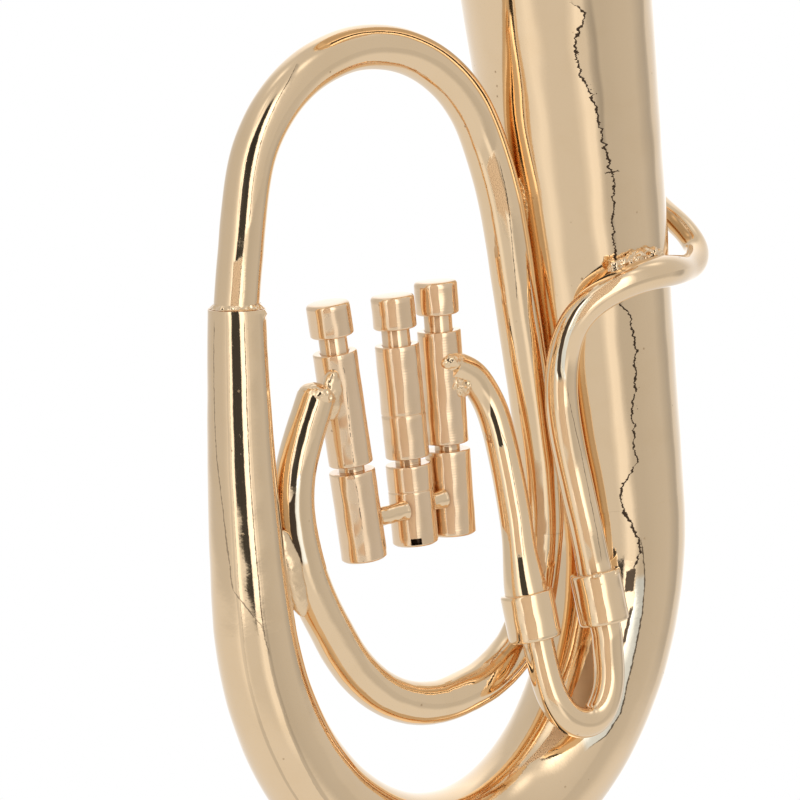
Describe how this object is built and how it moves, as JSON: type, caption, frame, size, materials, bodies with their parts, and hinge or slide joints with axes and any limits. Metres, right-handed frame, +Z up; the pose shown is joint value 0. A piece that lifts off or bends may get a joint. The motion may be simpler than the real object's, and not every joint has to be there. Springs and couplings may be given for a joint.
{
  "type": "baritone horn",
  "caption": "Small gold-plated display baritone horn: upright conical bell, round bottom bow, looped tubing, piston valves with finger buttons, pull-out tuning crook, leadpipe and mouthpiece.",
  "frame": {"origin": "lowest point of the bottom bow, midway between the bell axis and the outer branch", "axes": "+Z up along the bell axis to the rim, +X towards the bell, +Y towards the player (the mouthpiece side)"},
  "size_m": [0.0814, 0.0512, 0.14],
  "materials": {
    "gold_plate": "mirror polished pale rose-gold plating over brass tube",
    "valve_plate": "turned and gold plated, fine lathe rings",
    "plated_solder": "pitted solder under the same plating",
    "mouthpiece_plate": "polished gold plate",
    "spring_wire": "drawn spring wire"
  },
  "bodies": {
    "horn": {"bell": "gold_plate", "bell_rim_wire": "gold_plate", "bottom_bow": "gold_plate", "branch_mouth_ring": "gold_plate", "leadpipe": "gold_plate", "lower_loop_tube": "gold_plate", "mouthpiece_receiver": "mouthpiece_plate", "outer_branch": "gold_plate", "solder_arch_to_bell": "plated_solder", "solder_leadpipe_to_bell": "plated_solder", "solder_loop_to_bell": "plated_solder", "solder_loop_to_branch": "plated_solder", "solder_valve_1_port": "plated_solder", "solder_valve_3_port": "plated_solder", "tuning_ferrule_inner": "gold_plate", "tuning_ferrule_outer": "gold_plate", "upper_loop_tube": "gold_plate", "valve_3_port_tube": "gold_plate", "valve_casing_1": "valve_plate", "valve_casing_2": "valve_plate", "valve_casing_3": "valve_plate", "valve_drum_1": "valve_plate", "valve_drum_2": "valve_plate", "valve_drum_3": "valve_plate", "valve_knuckle_1": "valve_plate", "valve_knuckle_2": "valve_plate", "valve_spring_1": "spring_wire", "valve_spring_2": "spring_wire", "valve_spring_3": "spring_wire"},
    "crook": {"tuning_crook": "gold_plate"},
    "mouthpiece": {"mouthpiece": "mouthpiece_plate"},
    "piston_1": {"piston_1": "valve_plate", "finger_button_1": "valve_plate"},
    "piston_2": {"piston_2": "valve_plate", "finger_button_2": "valve_plate"},
    "piston_3": {"piston_3": "valve_plate", "finger_button_3": "valve_plate"}
  },
  "joints": [
    {"name": "valve_1_press", "type": "slide", "parent": "horn", "child": "piston_1", "axis": [0.0298, 0, -0.9996], "range_m": [0, 0.0015], "stiffness_N_per_m": 60, "springref_m": -0.001, "deforming": ["valve_spring_1"]},
    {"name": "valve_2_press", "type": "slide", "parent": "horn", "child": "piston_2", "axis": [-0.0276, 0, -0.9996], "range_m": [0, 0.0015], "stiffness_N_per_m": 60, "springref_m": -0.001, "deforming": ["valve_spring_2"]},
    {"name": "valve_3_press", "type": "slide", "parent": "horn", "child": "piston_3", "axis": [-0.0556, 0, -0.9985], "range_m": [0, 0.0015], "stiffness_N_per_m": 60, "springref_m": -0.001, "deforming": ["valve_spring_3"]},
    {"name": "tuning_slide", "type": "slide", "parent": "horn", "child": "crook", "axis": [0.0013, -0.1235, -0.9923], "range_m": [0, 0.0025]},
    {"name": "mouthpiece_pull", "type": "slide", "parent": "horn", "child": "mouthpiece", "axis": [0, 1, 0], "range_m": [0, 0.003]}
  ]
}
